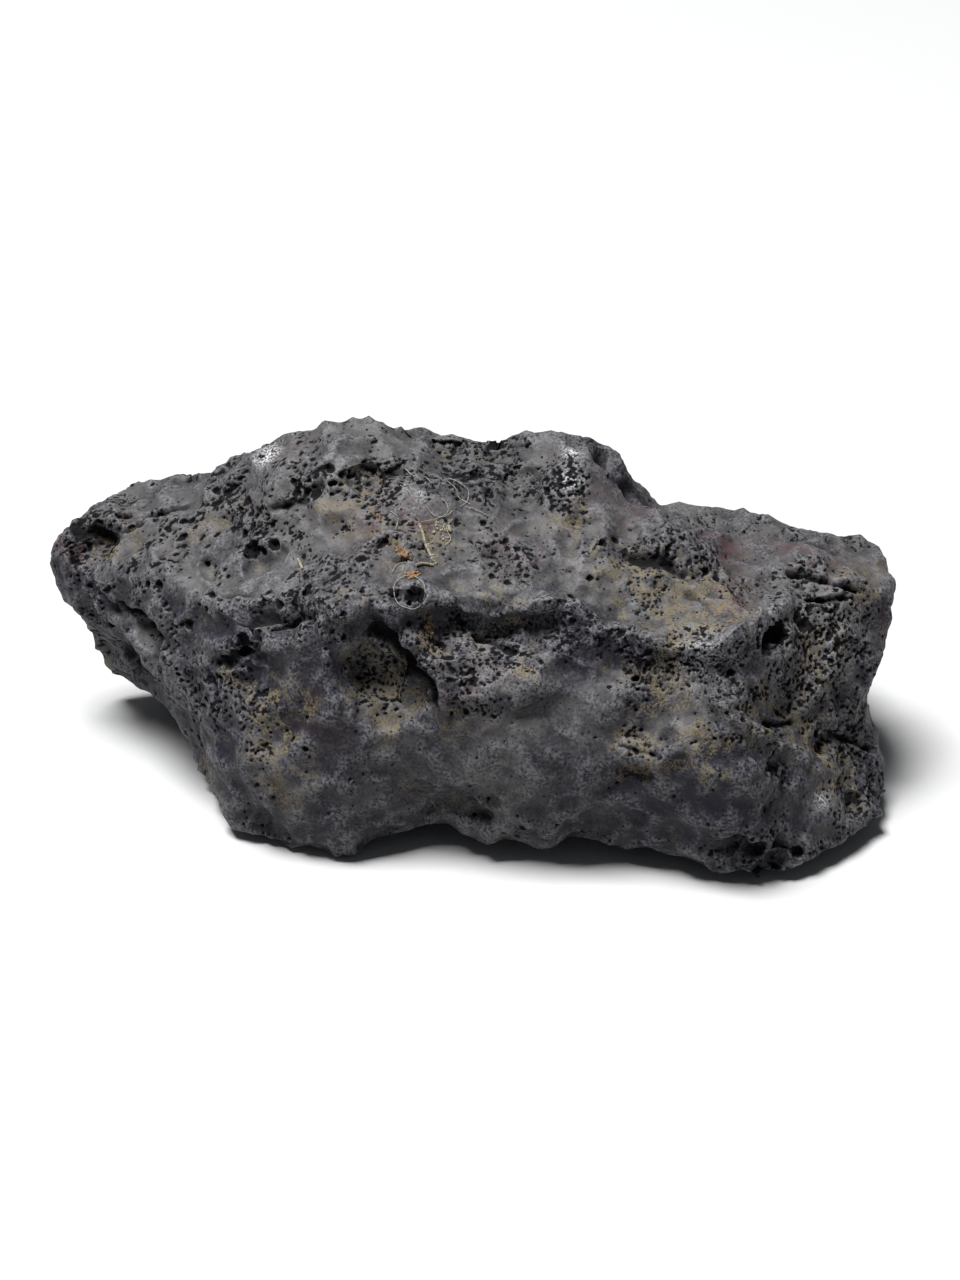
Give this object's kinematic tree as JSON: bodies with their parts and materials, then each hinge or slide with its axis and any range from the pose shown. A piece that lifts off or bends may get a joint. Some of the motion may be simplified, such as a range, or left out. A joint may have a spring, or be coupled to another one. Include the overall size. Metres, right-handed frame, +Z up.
{
  "type": "hematite stone",
  "caption": "Rough dark grey lump of vesicular hematite, a long block with a pitted sloping top, a steep front and a narrow nose, lying on a worn flat underside.",
  "frame": {"origin": "middle of the stone's bounding box, on the surface that it rests on", "axes": "+X along the stone towards its blunt end, +Y from its front face to its back, +Z up"},
  "size_m": [0.112, 0.053, 0.048],
  "materials": {
    "stone": "satin, worn and pitted, with ochre dust in the hollows",
    "lint": "fine pale fibres, straw and rust crumbs caught on the surface"
  },
  "bodies": {
    "root": {"hematite_stone": "stone"}
  },
  "joints": []
}
